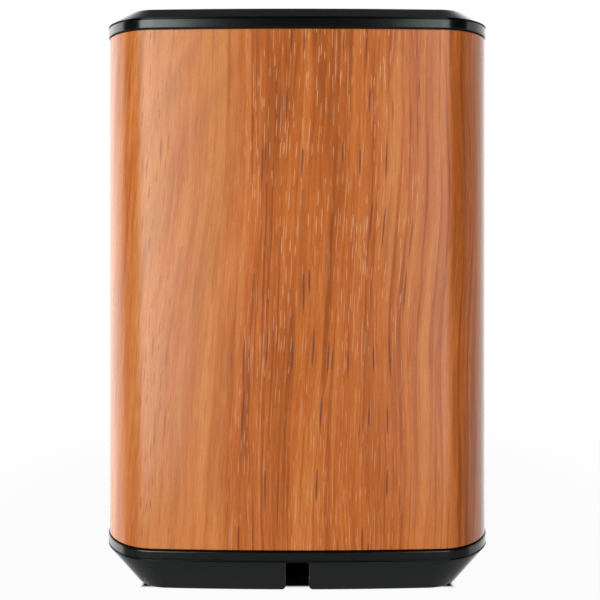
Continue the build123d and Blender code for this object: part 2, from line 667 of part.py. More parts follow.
with BuildPart() as chassis:
    with BuildSketch(Plane.XZ.offset(-CHASSIS_FRONT)) as plate:
        with Locations((0, (CHASSIS_LOW + CHASSIS_HIGH) / 2)):
            RectangleRounded(2 * CHASSIS_HALF, CHASSIS_HIGH - CHASSIS_LOW, 2)
        # way through for the battery lead, and lightening holes
        with Locations((CELL_X, 113)):
            RectangleRounded(12, 9, 2, mode=Mode.SUBTRACT)
        with Locations((-27, 104), (27, 104), (28, 72)):
            RectangleRounded(9, 24, 3, mode=Mode.SUBTRACT)
    extrude(amount=-CHASSIS_THICK)
save(chassis.part, "chassis")

with BuildPart() as co2_sensor:
    box_between((5, CHASSIS_FRONT - 1.6, 25), (39, CHASSIS_FRONT, 47))
    box_between((6, CHASSIS_FRONT - 9, 26), (38, CHASSIS_FRONT - 1.6, 46))
    fillet(co2_sensor.faces().sort_by(Axis.Y)[0].edges(), radius=0.8)
    for x in (13, 22, 31):
        box_between((x - 2, CHASSIS_FRONT - 9.1, 32), (x + 2, CHASSIS_FRONT - 8.4, 40), mode=Mode.SUBTRACT)
save(co2_sensor.part, "co2_sensor")

with BuildPart() as hcho_sensor:
    rod_y(24, 58, 7.0, CHASSIS_FRONT - 7, CHASSIS_FRONT)
    fillet(hcho_sensor.faces().sort_by(Axis.Y)[0].edges(), radius=0.6)
    rod_y(24, 58, 2.5, CHASSIS_FRONT - 7.1, CHASSIS_FRONT - 6.2, mode=Mode.SUBTRACT)
save(hcho_sensor.part, "hcho_sensor")

pm_high = [low + size for low, size in zip(PM_LOW, PM_SIZE)]
fan_x, fan_z = FAN_AT
inlet_x, inlet_z = INLET_AT
with BuildPart() as pm_sensor_case:
    box_between(PM_LOW, pm_high)
    fillet(pm_sensor_case.edges().filter_by(Axis.Y), radius=1.2)
    box_between(
        [low + PM_WALL for low in PM_LOW],
        (pm_high[0] - PM_WALL, pm_high[1] + 1, pm_high[2] - PM_WALL),
        mode=Mode.SUBTRACT,
    )
    rod_y(inlet_x, inlet_z, INLET_RADIUS, PM_LOW[1] - 1, PM_LOW[1] + 2, mode=Mode.SUBTRACT)
    # outlet in the top wall, over the fan, and the fan's fixed pin
    box_between(
        (fan_x - 7, PM_LOW[1] + 3, pm_high[2] - 2),
        (fan_x + 7, pm_high[1] - 3, pm_high[2] + 1),
        mode=Mode.SUBTRACT,
    )
    rod_y(fan_x, fan_z, FAN_PIN, PM_LOW[1] + 0.5, FAN_BACK + 0.8)
save(pm_sensor_case.part, "pm_sensor_case")

with BuildPart() as pm_sensor_lid:
    box_between((PM_LOW[0], pm_high[1], PM_LOW[2]), (pm_high[0], pm_high[1] + PM_LID, pm_high[2]))
    fillet(pm_sensor_lid.edges().filter_by(Axis.Y), radius=1.2)
save(pm_sensor_lid.part, "pm_sensor_lid")

with BuildPart() as pm_optics:
    box_between((-16.5, PM_LOW[1] + PM_WALL, 28), (-4, pm_high[1] - 1, 56))
    rod_y(inlet_x, inlet_z, 3.0, PM_LOW[1], pm_high[1], mode=Mode.SUBTRACT)
save(pm_optics.part, "pm_optics")

with BuildPart() as fan_stator:
    rod_y(fan_x, fan_z, 3.2, PM_LOW[1] + PM_WALL, FAN_BACK - 3)
    rod_y(fan_x, fan_z, 2.0, PM_LOW[1], FAN_BACK, mode=Mode.SUBTRACT)
save(fan_stator.part, "fan_stator")

with BuildPart() as fan_rotor:
    rod_y(fan_x, fan_z, 4.8, FAN_FRONT, FAN_BACK)
    rod_y(fan_x, fan_z, 3.8, FAN_FRONT - 1, FAN_BACK - 1, mode=Mode.SUBTRACT)
    rod_y(fan_x, fan_z, 1.6, FAN_FRONT, FAN_BACK)
    for blade in range(FAN_BLADES):
        with Locations(Location((fan_x, FAN_FRONT, fan_z), (0, 360 * blade / FAN_BLADES, 0))):
            with Locations((BLADE_ROOT, 0, 0)):
                size = (FAN_RADIUS - BLADE_ROOT, FAN_BACK - FAN_FRONT, BLADE_THICK)
                Box(*size, align=(Align.MIN, Align.MIN, Align.CENTER))
    rod_y(fan_x, fan_z, FAN_PIN + FAN_FIT, FAN_FRONT - 1, FAN_BACK + 1, mode=Mode.SUBTRACT)
save(fan_rotor.part, "fan_rotor")

with BuildPart() as intake_seal:
    rod_y(inlet_x, inlet_z, INLET_RADIUS + 2, PANEL_BACK + 0.4, PM_LOW[1])
    rod_y(inlet_x, inlet_z, INLET_RADIUS, PANEL_BACK, PM_LOW[1] + 1, mode=Mode.SUBTRACT)
save(intake_seal.part, "intake_seal")


# ---------------------------------------------------------------- battery and leads

HOLDER_BACK = CHASSIS_FRONT + CHASSIS_THICK
CELL_Y = HOLDER_BACK + HOLDER_WALL + CELL_RADIUS + 0.1
CELL_LOW = HOLDER_LOW + HOLDER_END + 1.2
HOLDER_HIGH = CELL_LOW + CELL_LENGTH + 1.2 + HOLDER_END

with BuildPart() as battery_holder:
    # floor, two ends and two sides
    floor_back = HOLDER_BACK + HOLDER_WALL
    box_between((-HOLDER_HALF, HOLDER_BACK, HOLDER_LOW), (HOLDER_HALF, floor_back, HOLDER_HIGH))
    for low in (HOLDER_LOW, HOLDER_HIGH - HOLDER_END):
        box_between((-HOLDER_HALF, HOLDER_BACK, low), (HOLDER_HALF, CELL_Y + 6, low + HOLDER_END))
    for x in (-HOLDER_HALF, HOLDER_HALF - HOLDER_WALL):
        box_between((x, HOLDER_BACK, HOLDER_LOW), (x + HOLDER_WALL, CELL_Y - 2, HOLDER_HIGH))
save(battery_holder.part, "battery_holder")

with BuildPart() as battery_cells:
    for x in (-CELL_X, CELL_X):
        rod_z(x, CELL_Y, CELL_RADIUS, CELL_LOW, CELL_LOW + CELL_LENGTH)
    fillet(battery_cells.edges().filter_by(GeomType.CIRCLE), radius=0.8)
save(battery_cells.part, "battery_cells")

with BuildPart() as battery_contacts:
    for x in (-CELL_X, CELL_X):
        for low in (HOLDER_LOW + HOLDER_END, CELL_LOW + CELL_LENGTH):
            rod_z(x, CELL_Y, 4, low, low + 1.2)
save(battery_contacts.part, "battery_contacts")


def lead(name, points, radius):
    """A short inner lead: a round wire along a filleted path, square to both its ends."""
    path = FilletPolyline(*points, radius=radius)
    with BuildPart() as wire:
        with BuildSketch(Plane(origin=points[0], z_dir=Vector(*points[1]) - Vector(*points[0]))):
            Circle(LEAD_RADIUS)
        sweep(path=path)
    save(wire.part, name)


connector_face = PCB_BACK + CONNECTOR_DEPTH
lead("battery_lead", [(10, -12, HOLDER_HIGH), (10, -12, 113), (10, connector_face, 113)], 3.8)
lead("sensor_lead", [(-8, -28, pm_high[2]), (-8, -28, 78), (-8, connector_face, 78)], 2.7)
lead("usb_lead", [(1, -4, 3.8), (1, -27.5, 3.8), (1, -27.5, 64), (1, connector_face, 64)], [10.0, 3.0])
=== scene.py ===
"""Looks of the desk air quality monitor: wood veneer, black mouldings, front display and a plain studio."""
import json
import math

import bmesh
import bpy
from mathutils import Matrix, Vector


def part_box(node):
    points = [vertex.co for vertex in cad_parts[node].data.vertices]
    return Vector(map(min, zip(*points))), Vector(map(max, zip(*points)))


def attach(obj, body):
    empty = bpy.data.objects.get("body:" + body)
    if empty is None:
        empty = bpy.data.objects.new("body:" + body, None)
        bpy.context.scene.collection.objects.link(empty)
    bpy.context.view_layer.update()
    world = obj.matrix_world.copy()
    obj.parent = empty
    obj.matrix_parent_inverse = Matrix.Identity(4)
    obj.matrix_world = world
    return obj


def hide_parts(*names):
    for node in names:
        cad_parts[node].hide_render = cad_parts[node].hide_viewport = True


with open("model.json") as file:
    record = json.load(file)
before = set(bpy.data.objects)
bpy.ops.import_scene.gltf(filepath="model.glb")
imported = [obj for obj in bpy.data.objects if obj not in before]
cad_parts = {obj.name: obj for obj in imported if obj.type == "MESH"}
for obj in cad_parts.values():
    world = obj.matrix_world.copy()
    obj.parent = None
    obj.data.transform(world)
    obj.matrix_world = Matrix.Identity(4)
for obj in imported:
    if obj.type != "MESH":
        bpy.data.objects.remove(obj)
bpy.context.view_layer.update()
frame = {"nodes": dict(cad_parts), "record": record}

MM = 0.001
NODES = frame["nodes"]


# ---------------------------------------------------------------- camera and studio

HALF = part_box("top_ring")[1].y
BASE_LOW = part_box("base_tray")[0].z
CAMERA_BEHIND = 169.8 * MM
CAMERA_ABOVE_BASE = 89.3 * MM
LENS = 44.36
SHIFT = (0.0045, -0.1407)

# How bright the room is: (height of a direction, from -1 to 1, and level)
ROOM = [(-1.0, 0.20), (-0.6, 0.30), (-0.3, 0.30), (-0.05, 0.05), (0.1, 0.02), (0.65, 0.03), (1.0, 0.08)]
# How bright the backdrop is from -X to +X: it is brightest beside the object
BACKDROP = [
    (-1.0, 0.8), (-0.94, 1.8), (-0.6, 2.2), (0.0, 1.3),
    (0.3, 1.2), (0.6, 2.1), (0.9, 4.0), (1.0, 3.8),
]
# Between which parts of a direction the backdrop fades in: towards the object's far side, down and up
BACKDROP_EDGE = (0.15, 0.05)
BACKDROP_TOP = (0.70, 0.45)
BACKDROP_FOOT = (-0.75, -0.25)
# On the -X side it reaches further round: from which parts of a direction, and how far
BACKDROP_TURN = (-0.85, -0.95)
BACKDROP_REACH = -0.22
# How much of the backdrop's light matte colour takes, beside gloss
BACKDROP_DIFFUSE = 0.13
KEY_ELEVATIONS = (-20.5, 30.0)
KEY_TINT = (0.97, 1.0, 1.0)
KEY_DISTANCE = 0.9
KEY_TARGET = Vector((0, 0, 0.07))
FLOOR_HALF = 6.0
FLOOR_TONE = (0.78, 0.78, 0.78)
# painted shade: the floor's colour where the object covers it
FLOOR_PAINTED_SHADE_TONE = (0.01, 0.01, 0.01)
FLOOR_UNDER_GLOW = 0.1
FLOOR_UNDER_DROP = 0.1 * MM
FLOOR_GLOW = 0.95
# From where to where the floor fades to white, and from where to where the painted shade under the object
# ends
FLOOR_FADE = (0.05, 0.16)
FOOTPRINT = (0.0372, 0.0384)
WHITE = (1.0, 1.0, 1.0, 1.0)


def make_camera():
    """The camera looks level at the back, from close by."""
    data = bpy.data.cameras.new("camera")
    data.sensor_width = 36
    data.lens = LENS
    data.shift_x, data.shift_y = SHIFT
    data.clip_start = 0.01
    camera = bpy.data.objects.new("camera", data)
    camera.location = (0, HALF + CAMERA_BEHIND, BASE_LOW + CAMERA_ABOVE_BASE)
    camera.rotation_euler = (math.radians(90), 0, math.radians(180))
    bpy.context.scene.collection.objects.link(camera)
    bpy.context.scene.camera = camera


def softbox(name, azimuths, level):
    """An upright rectangular light that fills a range of directions seen from the object.
    Azimuth turns from +Y towards +X. Level is its radiance."""
    turn = math.radians(sum(azimuths) / 2)
    out = Vector((math.sin(turn), math.cos(turn), 0))
    low, high = (KEY_DISTANCE * math.tan(math.radians(e)) for e in KEY_ELEVATIONS)
    wide = 2 * KEY_DISTANCE * math.tan(math.radians(abs(azimuths[1] - azimuths[0]) / 2))
    data = bpy.data.lights.new(name, "AREA")
    data.shape = "RECTANGLE"
    data.size, data.size_y = wide, high - low
    data.energy = level * math.pi * wide * (high - low)
    data.color = KEY_TINT
    light = bpy.data.objects.new(name, data)
    light.location = KEY_TARGET + out * KEY_DISTANCE + Vector((0, 0, (low + high) / 2))
    light.rotation_euler = out.to_track_quat("Z", "Y").to_euler()
    light.visible_camera = False
    bpy.context.scene.collection.objects.link(light)


def greys(stops, low, high):
    """Ramp stops over a range, as places from 0 to 1 and greys."""
    return [((place - low) / (high - low), (level,) * 3) for place, level in stops]


def make_world():
    """A dim room, and a bright backdrop that stands behind the object. The camera sees plain white."""
    world = bpy.data.worlds.new("studio")
    bpy.context.scene.world = world
    world.use_nodes = True
    tree = world.node_tree
    tree.nodes.clear()
    direction = node(tree, "TexCoord").outputs["Generated"]
    x, y, z = parts(tree, direction)
    room = ramp(tree, z, greys(ROOM, -1, 1), -1, 1)
    backdrop = ramp(tree, x, greys(BACKDROP, -1, 1), -1, 1)
    reach = scaled(tree, fade(tree, x, *BACKDROP_TURN), BACKDROP_REACH)
    behind = fade(tree, sums(tree, "ADD", y, reach), *BACKDROP_EDGE)
    low = fade(tree, z, *BACKDROP_TOP)
    high = fade(tree, z, *BACKDROP_FOOT)
    share = sums(tree, "MULTIPLY", sums(tree, "MULTIPLY", behind, low), high)
    rays = node(tree, "LightPath").outputs
    less = scaled(tree, rays["Is Diffuse Ray"], BACKDROP_DIFFUSE - 1.0, 1.0)
    level = mix(tree, sums(tree, "MULTIPLY", share, less), room, backdrop)
    colour = mix(tree, rays["Is Camera Ray"], level, WHITE)
    background = node(tree, "Background", {"Color": colour, "Strength": 1.0})
    node(tree, "OutputWorld", {"Surface": background.outputs[0]})


def level_sheet(name, half):
    """A level square of the studio, with its material's tree and shader."""
    mesh = bpy.data.meshes.new(name)
    build = bmesh.new()
    bmesh.ops.create_grid(build, x_segments=4, y_segments=4, size=half)
    build.to_mesh(mesh)
    build.free()
    sheet = bpy.data.objects.new(name, mesh)
    bpy.context.scene.collection.objects.link(sheet)
    material, tree, shader = new_material(name, roughness=0.8)
    mesh.materials.append(material)
    return sheet, tree, shader


def make_floor():
    """A pale table top that fades into the white backdrop. Where the object covers it, the floor has painted
    shade: a near-black colour and no glow.
    """
    floor, tree, shader = level_sheet("floor", FLOOR_HALF)
    shader.inputs["Specular IOR Level"].default_value = 0.0
    place = node(tree, "TexCoord").outputs["Object"]
    away = node(tree, "VectorMath", {0: place}, operation="LENGTH").outputs["Value"]
    far = fade(tree, away, *FLOOR_FADE)
    x, y, _ = parts(tree, place)
    reach = sums(tree, "MAXIMUM", sums(tree, "ABSOLUTE", x), sums(tree, "ABSOLUTE", y))
    outside = fade(tree, reach, *FOOTPRINT)
    # painted shade: inside the object's footprint the floor is near black and doesn't glow
    tree.links.new(mix(tree, outside, FLOOR_PAINTED_SHADE_TONE, FLOOR_TONE), shader.inputs["Base Color"])
    share = sums(tree, "ADD", FLOOR_GLOW, sums(tree, "MULTIPLY", far, 1 - FLOOR_GLOW))
    share = sums(tree, "MULTIPLY", share, outside)
    glow = node(tree, "Emission", {"Color": WHITE, "Strength": 1.0})
    both = node(tree, "MixShader", {0: share, 1: shader.outputs[0], 2: glow.outputs[0]})
    # the table top is clear from its underside
    below = node(tree, "NewGeometry").outputs["Backfacing"]
    clear = node(tree, "BsdfTransparent")
    both = node(tree, "MixShader", {0: below, 1: both.outputs[0], 2: clear.outputs[0]})
    output = next(n for n in tree.nodes if n.type == "OUTPUT_MATERIAL")
    tree.links.new(both.outputs[0], output.inputs["Surface"])
    # the lights stand partly below the table top, as round a glass table
    floor.visible_glossy = False
    floor.visible_diffuse = False
    floor.visible_shadow = False


def make_floor_under():
    """A dim sheet that the camera doesn't see: it keeps light from coming up under the object."""
    under, _, shader = level_sheet("floor_under", FOOTPRINT[1])
    under.location.z = -FLOOR_UNDER_DROP
    under.visible_camera = False
    shader.inputs["Emission Color"].default_value = WHITE
    shader.inputs["Emission Strength"].default_value = FLOOR_UNDER_GLOW


# ---------------------------------------------------------------- shader helpers


def node(tree, kind, inputs=None, **settings):
    """A shader node with its settings, and its inputs set or linked."""
    made = tree.nodes.new("ShaderNode" + kind)
    for name, value in settings.items():
        setattr(made, name, value)
    for name, value in (inputs or {}).items():
        if isinstance(value, bpy.types.NodeSocket):
            tree.links.new(value, made.inputs[name])
        else:
            made.inputs[name].default_value = value
    return made


def sums(tree, operation, *values):
    """One maths node's result."""
    made = tree.nodes.new("ShaderNodeMath")
    made.operation = operation
    for place, value in enumerate(values):
        if isinstance(value, bpy.types.NodeSocket):
            tree.links.new(value, made.inputs[place])
        else:
            made.inputs[place].default_value = value
    return made.outputs[0]


def parts(tree, vector):
    """A vector's X, Y and Z."""
    return tuple(node(tree, "SeparateXYZ", {"Vector": vector}).outputs)


def scaled(tree, value, gain, base=0.0):
    """base + gain * value."""
    return sums(tree, "MULTIPLY_ADD", value, gain, base)


def mix(tree, factor, first, second, blend="MIX"):
    """One colour mixed into another."""
    made = tree.nodes.new("ShaderNodeMix")
    made.data_type = "RGBA"
    made.blend_type = blend
    for name, value in (("Factor_Float", factor), ("A_Color", first), ("B_Color", second)):
        socket = next(s for s in made.inputs if s.identifier == name)
        if isinstance(value, bpy.types.NodeSocket):
            tree.links.new(value, socket)
        elif name == "Factor_Float":
            socket.default_value = value
        else:
            socket.default_value = (*value[:3], 1.0)
    return next(s for s in made.outputs if s.identifier == "Result_Color")


def ramp(tree, value, stops, low=0.0, high=1.0):
    """A colour ramp over value, which runs from low to high."""
    placed = value
    if (low, high) != (0.0, 1.0):
        limits = {"Value": value, "From Min": low, "From Max": high}
        placed = node(tree, "MapRange", limits).outputs["Result"]
    made = node(tree, "ValToRGB", {"Fac": placed})
    band = made.color_ramp
    band.interpolation = "LINEAR"
    while len(band.elements) < len(stops):
        band.elements.new(0.5)
    for element, (place, colour) in zip(band.elements, stops):
        element.position = place
        element.color = (*colour[:3], 1.0)
    return made.outputs["Color"]


def fade(tree, value, start, end):
    """0 before start, 1 after end, and smooth between. Start may be past end."""
    limits = {"Value": value, "From Min": start, "From Max": end}
    return node(tree, "MapRange", limits, interpolation_type="SMOOTHSTEP").outputs["Result"]


def noise(tree, vector, detail=2.0, roughness=0.5, scale=1.0, dimensions="3D"):
    """A noise value from 0 to 1."""
    inputs = {"Vector": vector, "Scale": scale, "Detail": detail, "Roughness": roughness}
    return node(tree, "TexNoise", inputs, noise_dimensions=dimensions).outputs["Fac"]


def stretch(tree, vector, scale, move=(0.0, 0.0, 0.0)):
    """A vector scaled on each axis, then moved."""
    return node(tree, "Mapping", {"Vector": vector, "Scale": scale, "Location": move}).outputs["Vector"]


def join(tree, x, y=0.0, z=0.0):
    """A vector from three values."""
    made = tree.nodes.new("ShaderNodeCombineXYZ")
    for place, value in enumerate((x, y, z)):
        if isinstance(value, bpy.types.NodeSocket):
            tree.links.new(value, made.inputs[place])
        else:
            made.inputs[place].default_value = value
    return made.outputs[0]


def bump(tree, shader, height, depth):
    """Raises the surface by height times depth, in metres."""
    made = node(tree, "Bump", {"Height": height, "Distance": depth, "Strength": 1.0})
    tree.links.new(made.outputs["Normal"], shader.inputs["Normal"])


def new_material(name, roughness=0.5, metallic=0.0, ior=1.45, coat=0.0, coat_roughness=0.1):
    """A material with one principled shader, and its constants set on the shader itself."""
    material = bpy.data.materials.new(name)
    material.use_nodes = True
    tree = material.node_tree
    tree.nodes.clear()
    shader = node(tree, "BsdfPrincipled", {"Roughness": roughness, "Metallic": metallic, "IOR": ior})
    shader.inputs["Coat Weight"].default_value = coat
    shader.inputs["Coat Roughness"].default_value = coat_roughness
    node(tree, "OutputMaterial", {"Surface": shader.outputs[0]})
    return material, tree, shader


# ---------------------------------------------------------------- wood veneer

WOOD_PALE = (0.475, 0.163, 0.041)
WOOD_BASE = (0.390, 0.097, 0.0165)
WOOD_DEEP = (0.225, 0.052, 0.0085)
PORE_DARK = (0.125, 0.024, 0.004)
PORE_PALE = (0.55, 0.30, 0.15)
MID_HEIGHT = 70.0
# Bands down the veneer: middle and half width across it in millimetres, and how much darker
BROAD_BANDS = (
    (-7.0, 6.0, 0.05),
    (4.0, 5.0, 0.02),
    (12.0, 5.5, -0.05),
    (23.5, 3.4, 0.12),
    (30.5, 5.0, -0.10),
)
# Painted shade down the rounded corners: middle and half width across the veneer in millimetres, and how
# much darker
CORNER_SHADE_BANDS = (
    (-41.0, 6.0, 0.10),
    (39.5, 5.0, 0.12),
    (50.0, 8.0, 0.15),
)
# Layers of pale pores: shift across, cell, width, length and how often, in millimetres
PALE_PORES = (
    (0.0, (1.1, 5.6), 0.14, 2.8, 0.8),
    (37.3, (1.8, 9.0), 0.13, 4.5, 0.75),
    (61.9, (3.1, 16.0), 0.14, 7.5, 0.6),
)


def band_at(tree, value, middle, half):
    """A soft band: 1 at its middle, 0 beyond half to either side."""
    return fade(tree, sums(tree, "ABSOLUTE", sums(tree, "SUBTRACT", value, middle)), half, 0.0)


def darken(tree, tone, value, bands):
    """A tone made darker along each of the bands."""
    for middle, half, depth in bands:
        tone = sums(tree, "SUBTRACT", tone, scaled(tree, band_at(tree, value, middle, half), depth))
    return tone


def flat_noise(tree, place, scale, move=(0.0, 0.0), detail=1.0, roughness=0.5):
    """Noise over the veneer, scaled and moved across the grain and along it."""
    place = stretch(tree, place, (*scale, 1.0), (*move, 0.0))
    return noise(tree, place, detail=detail, roughness=roughness, dimensions="2D")


def dashes(tree, across, along, cell, width, length, chance):
    """Short pores, at most one in each cell: 1 inside a pore, 0 outside. Sizes are in millimetres."""
    cell_wide, cell_long = cell
    place = join(tree, sums(tree, "DIVIDE", across, cell_wide), sums(tree, "DIVIDE", along, cell_long))
    inputs = {"Vector": place, "Scale": 1.0, "Randomness": 1.0}
    cells = node(tree, "TexVoronoi", inputs, voronoi_dimensions="2D")
    middle_x, middle_y, _ = parts(tree, cells.outputs["Position"])
    here_x, here_y, _ = parts(tree, place)
    side = sums(tree, "MULTIPLY", sums(tree, "SUBTRACT", here_x, middle_x), cell_wide)
    rise = sums(tree, "MULTIPLY", sums(tree, "SUBTRACT", here_y, middle_y), cell_long)
    luck = node(tree, "SeparateColor", {"Color": cells.outputs["Color"]})
    # many are short and a few are long
    reach = scaled(tree, sums(tree, "POWER", luck.outputs["Red"], 1.3), 0.68 * length, 0.32 * length)
    bow = sums(tree, "POWER", sums(tree, "ABSOLUTE", sums(tree, "DIVIDE", rise, reach)), 3.0)
    taper = sums(tree, "SUBTRACT", 1.0, bow)
    half = sums(tree, "MULTIPLY", width, sums(tree, "MAXIMUM", taper, 0.0))
    edge = sums(tree, "DIVIDE", sums(tree, "ABSOLUTE", side), sums(tree, "MAXIMUM", half, 0.001))
    shape = fade(tree, edge, 1.3, 0.2)
    present = fade(tree, luck.outputs["Green"], 1.0 - chance, 1.0 - 0.45 * chance)
    return sums(tree, "MULTIPLY", shape, present)


def grain_flow(tree):
    """Where a point of the veneer lies across the grain and along it, in millimetres."""
    grain = node(tree, "Attribute", attribute_name="grain", attribute_type="GEOMETRY").outputs["Vector"]
    across, along, _ = parts(tree, grain)
    # the grain leans a little, more on one side of the back, and wanders
    leaning = fade(tree, across, -8.0, -24.0)
    lean = scaled(tree, leaning, 0.055, 0.025)
    rise = sums(tree, "SUBTRACT", along, MID_HEIGHT)
    wander = flat_noise(tree, grain, (0.035, 0.013))
    ripple = flat_noise(tree, grain, (0.3, 0.07))
    bent = sums(tree, "SUBTRACT", across, sums(tree, "MULTIPLY", rise, lean))
    bent = sums(tree, "ADD", bent, scaled(tree, wander, 5.0, -2.5))
    bent = sums(tree, "ADD", bent, scaled(tree, ripple, 0.4, -0.2))
    return grain, across, along, bent


def wood_tone(tree, across, along, bent, pale_side):
    """How pale the wood is, from dark 0 to pale 1, and the fibres alone."""
    flow = join(tree, bent, along)
    bands = flat_noise(tree, flow, (0.09, 0.005), (3.1, 0.0))
    streaks = flat_noise(tree, flow, (0.42, 0.014), (7.7, 2.0), detail=2.0)
    fibres = flat_noise(tree, flow, (1.5, 0.06), (1.3, 5.0), detail=3.0, roughness=0.7)
    tone = scaled(tree, bands, 0.30, 0.05)
    tone = sums(tree, "ADD", tone, scaled(tree, streaks, 0.33, 0.015))
    tone = sums(tree, "ADD", tone, scaled(tree, fibres, 0.24))
    # long thin darker growth lines, fainter on the pale part
    lines = fade(tree, flat_noise(tree, flow, (0.95, 0.010), (2.3, 8.0)), 0.46, 0.26)
    lines = sums(tree, "MULTIPLY", lines, scaled(tree, pale_side, -0.75, 1.0))
    tone = sums(tree, "SUBTRACT", tone, scaled(tree, lines, 0.12, -0.015))
    tone = sums(tree, "ADD", tone, scaled(tree, pale_side, 0.125))
    tone = darken(tree, tone, bent, BROAD_BANDS)
    # painted shade: a darker band runs down by each rounded corner
    return darken(tree, tone, across, CORNER_SHADE_BANDS), fibres


def pale_figure(tree, across, along, pale_side):
    """Soft figure on the pale part, which leans more and more towards the top."""
    height = sums(tree, "MAXIMUM", sums(tree, "SUBTRACT", along, 55.0), 0.0)
    curve = scaled(tree, sums(tree, "MULTIPLY", height, height), 0.0035)
    slant = sums(tree, "SUBTRACT", across, sums(tree, "ADD", curve, scaled(tree, along, 0.09)))
    figured = flat_noise(tree, join(tree, slant, along), (0.17, 0.02), (5.0, 1.0))
    return sums(tree, "MULTIPLY", fade(tree, figured, 0.28, 0.72), pale_side)


def pale_pores(tree, along, bent, open_zone, clusters):
    """Pale open pores, most of them in the middle of the back and in its upper half."""
    pores = 0.0
    for move, cell, width, length, chance in PALE_PORES:
        layer = dashes(tree, sums(tree, "ADD", bent, move), along, cell, width, length, chance)
        pores = sums(tree, "MAXIMUM", pores, layer)
    often = sums(tree, "MULTIPLY", scaled(tree, open_zone, 0.75, 0.25), scaled(tree, clusters, 0.7, 0.3))
    upper = scaled(tree, fade(tree, along, 35.0, 95.0), 0.4, 0.6)
    return sums(tree, "MULTIPLY", sums(tree, "MULTIPLY", pores, upper), scaled(tree, often, 0.56))


def wood_material():
    """Satin veneer: broad leaning bands, straight streaks, fine fibres, and pale and dark pores."""
    material, tree, shader = new_material("wood_veneer", roughness=0.24, ior=1.36)
    grain, across, along, bent = grain_flow(tree)
    pale_side = fade(tree, bent, -10.0, -17.0)
    tone, fibres = wood_tone(tree, across, along, bent, pale_side)
    colour = ramp(tree, tone, [(0.32, WOOD_DEEP), (0.50, WOOD_BASE), (0.68, WOOD_PALE)])
    threads = flat_noise(tree, join(tree, bent, along), (6.0, 0.22))
    shade = ramp(tree, threads, [(0.25, (0.90, 0.83, 0.72)), (0.75, (1.05, 1.12, 1.22))])
    colour = mix(tree, 1.0, colour, shade, "MULTIPLY")
    mottle = flat_noise(tree, grain, (2.6, 1.3), detail=2.0, roughness=0.7)
    mottle = ramp(tree, mottle, [(0.3, (0.98, 0.94, 0.88)), (0.7, (1.02, 1.06, 1.12))])
    colour = mix(tree, 1.0, colour, mottle, "MULTIPLY")
    figured = pale_figure(tree, across, along, pale_side)
    colour = mix(tree, 1.0, colour, scaled(tree, figured, -0.11, 1.02), "MULTIPLY")

    # pores are frequent in the middle of the back, and in clusters elsewhere
    open_zone = sums(tree, "MULTIPLY", fade(tree, bent, -15.0, -11.0), fade(tree, bent, 31.0, 22.0))
    clusters = fade(tree, flat_noise(tree, grain, (0.11, 0.03), (9.0, 4.0), detail=2.0), 0.30, 0.62)
    pale = pale_pores(tree, along, bent, open_zone, clusters)
    # fine short darker marks by the pale corner
    fine = dashes(tree, sums(tree, "ADD", bent, 211.3), along, (1.3, 6.0), 0.15, 2.8, 0.7)
    fine = sums(tree, "MULTIPLY", fine, scaled(tree, band_at(tree, across, -34.0, 10.0), 0.75))
    thin = dashes(tree, sums(tree, "ADD", bent, 91.7), along, (3.1, 15.0), 0.27, 6.5, 0.55)
    soft = dashes(tree, sums(tree, "ADD", bent, 153.1), along, (5.5, 46.0), 0.75, 20.0, 0.6)
    dark = sums(tree, "MULTIPLY", thin, scaled(tree, open_zone, 0.6, 0.3))
    colour = mix(tree, scaled(tree, soft, 0.38), colour, WOOD_DEEP)
    colour = mix(tree, fine, colour, WOOD_DEEP)
    colour = mix(tree, pale, colour, PORE_PALE)
    colour = mix(tree, dark, colour, PORE_DARK)
    tree.links.new(colour, shader.inputs["Base Color"])

    rough = sums(tree, "ADD", scaled(tree, pale, 0.12, 0.22), scaled(tree, fibres, 0.05))
    rough = sums(tree, "ADD", rough, scaled(tree, dark, 0.3))
    tree.links.new(rough, shader.inputs["Roughness"])
    sunk = sums(tree, "ADD", scaled(tree, dark, -0.15), scaled(tree, pale, -0.4))
    bump(tree, shader, sums(tree, "ADD", sunk, scaled(tree, fibres, 0.2)), 0.022 * MM)
    return material


BOW_RADIUS = 658.0 * MM
CORNER_RADIUS = 14.0 * MM
BOW_SET = BOW_RADIUS - HALF
CORNER_AT = (math.sqrt(2 * (BOW_RADIUS - CORNER_RADIUS) ** 2 - BOW_SET ** 2) - BOW_SET) / 2
BOW_ANGLE = math.atan2(CORNER_AT, CORNER_AT + BOW_SET)
FRONT_GAP_HALF = 33.5 * MM
VENEER_THICK = 0.8 * MM
VENEER_EASE = 0.12 * MM
VENEER_ROWS = 12
SHARP_ANGLE = math.radians(35)


def plan_point(side, angle, inset, corner=False):
    """A point of the column's plan, drawn in by inset. Side 0 is the back, and sides count towards -X.
    Angle turns from the side's own outward direction."""
    facing = math.radians(90 + 90 * side)
    out = Vector((math.cos(facing), math.sin(facing)))
    along = Vector((-out.y, out.x))
    ray = out * math.cos(angle) + along * math.sin(angle)
    if corner:
        return (out + along) * CORNER_AT + ray * (CORNER_RADIUS - inset)
    return ray * (BOW_RADIUS - inset) - out * BOW_SET


def half_round(inset, steps=10, corner_steps=28):
    """Stations from the middle of the back, over one side, to the front gap: (side, angle, corner)."""
    stations = [(0, BOW_ANGLE * i / steps, False) for i in range(steps)]
    quarter = math.pi / 2 - 2 * BOW_ANGLE
    stations += [(0, BOW_ANGLE + quarter * i / corner_steps, True) for i in range(corner_steps)]
    stations += [(1, -BOW_ANGLE + BOW_ANGLE * i / steps, False) for i in range(2 * steps)]
    last = math.acos((FRONT_GAP_HALF - CORNER_AT) / (CORNER_RADIUS - inset))
    turn = last - BOW_ANGLE
    stations += [(1, BOW_ANGLE + turn * i / corner_steps, True) for i in range(corner_steps + 1)]
    return stations


def make_object(name, mesh, body, *replaced):
    """Links a finished mesh as a piece that rides on a body."""
    piece = bpy.data.objects.new(name, mesh)
    bpy.context.scene.collection.objects.link(piece)
    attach(piece, body)
    if replaced:
        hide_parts(*replaced)
    return piece


